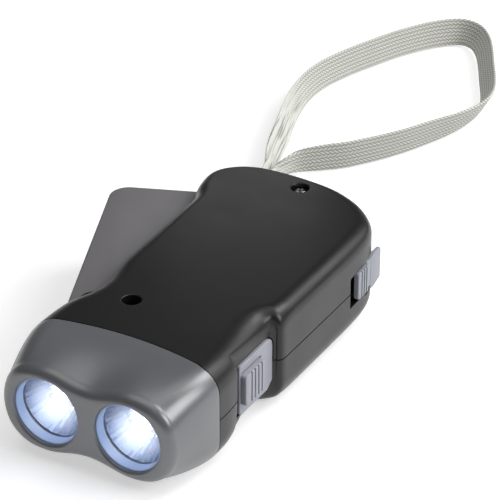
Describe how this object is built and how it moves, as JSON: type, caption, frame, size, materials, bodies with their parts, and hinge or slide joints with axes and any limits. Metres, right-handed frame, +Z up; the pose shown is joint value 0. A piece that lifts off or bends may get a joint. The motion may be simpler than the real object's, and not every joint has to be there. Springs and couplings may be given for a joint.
{
  "type": "squeeze dynamo flashlight",
  "caption": "Hand-squeezed dynamo flashlight with a black body, grey two-lamp head, side lever that spins an inner generator, thumb sliders and a flat wrist strap.",
  "frame": {"origin": "On the flat base, midway across the body, 58 mm behind the front face of the head: the centre of the face that it lies on.", "axes": "+Y runs from the head to the rear, +X to the switch side (the lever is on -X), +Z up from the base that it lies on."},
  "size_m": [0.0725, 0.2462, 0.026],
  "materials": {
    "black_shell": "fine moulded texture, satin",
    "grey_head": "satin grey paint on plastic",
    "grey_lever": "satin moulded grey",
    "pale_slider": "satin pale lavender grey",
    "clear_window": "clear plastic window",
    "bright_reflector": "vacuum-metallised plastic, faceted",
    "white_lamp": "clear epoxy lamp over a white chip",
    "green_board": "lacquered glass fibre board",
    "white_nylon": "natural moulded nylon",
    "brass": "turned",
    "steel": "bright zinc plate",
    "magnet": "sintered ferrite",
    "copper_winding": "enamelled copper wire",
    "grey_strap": "flat braided cord",
    "red_lead": "lead insulation",
    "black_lead": "lead insulation",
    "black_plastic": "moulded"
  },
  "bodies": {
    "housing": {"bottom_shell": "black_shell", "top_shell": "black_shell", "head_bezel": "grey_head", "lens_left": "clear_window", "lens_right": "clear_window", "reflector_left": "bright_reflector", "reflector_right": "bright_reflector", "lamp_left": "white_lamp", "lamp_right": "white_lamp", "lamp_board": "green_board", "lamp_lead_1": "red_lead", "lamp_lead_2": "black_lead", "lever_pin": "steel", "first_axle": "steel", "second_axle": "steel", "gear_frame": "white_nylon", "gear_cover": "white_nylon", "frame_screw_1": "steel", "frame_screw_2": "steel", "frame_screw_3": "steel", "stator_core": "steel", "coil_bobbin": "white_nylon", "coil_winding": "copper_winding", "case_screw_front": "steel", "case_screw_rear": "steel", "slide_switch": "steel", "cell_holder": "black_plastic", "cell_1": "steel", "cell_2": "steel", "cell_3": "steel", "main_board": "green_board", "strap_pin": "steel", "wrist_strap": "grey_strap"},
    "lever": {"lever_grip": "grey_lever", "lever_rack": "white_nylon", "rack_screw": "steel", "lever_spring": "steel"},
    "first_gear": {"first_gear": "white_nylon"},
    "second_gear": {"second_gear": "white_nylon"},
    "rotor": {"rotor_shaft": "brass", "ring_magnet": "magnet"},
    "switch": {"switch_slider": "pale_slider"},
    "lock": {"lock_slider": "pale_slider"}
  },
  "joints": [
    {"name": "lever_hinge", "type": "hinge", "parent": "housing", "child": "lever", "pos_m": [-0.017, -0.0265, 0.013], "axis": [0, 0, -1], "range_deg": [0, 21.5], "stiffness_Nm_per_rad": 0.4, "springref_deg": -20.05},
    {"name": "first_gear_spin", "type": "hinge", "parent": "housing", "child": "first_gear", "pos_m": [-0.00013, 0.00273, 0.0115], "axis": [0, 0, -1], "range_deg": [-173, 0]},
    {"name": "second_gear_spin", "type": "hinge", "parent": "housing", "child": "second_gear", "pos_m": [0.01029, 0.01514, 0.0128], "axis": [0, 0, -1], "range_deg": [0, 757.5]},
    {"name": "rotor_spin", "type": "hinge", "parent": "housing", "child": "rotor", "pos_m": [0.00254, 0.0262, 0.0115], "axis": [0, 0, -1], "range_deg": [-3331, 0]},
    {"name": "switch_slide", "type": "slide", "parent": "housing", "child": "switch", "axis": [0, -1, 0], "range_m": [0, 0.0025]},
    {"name": "lock_slide", "type": "slide", "parent": "housing", "child": "lock", "axis": [0, -1, 0], "range_m": [0, 0.0026]}
  ],
  "couplings": [
    {"joint": "first_gear_spin", "follows": "lever_hinge", "ratio": -8},
    {"joint": "second_gear_spin", "follows": "lever_hinge", "ratio": 35.2},
    {"joint": "rotor_spin", "follows": "lever_hinge", "ratio": -154.88}
  ]
}
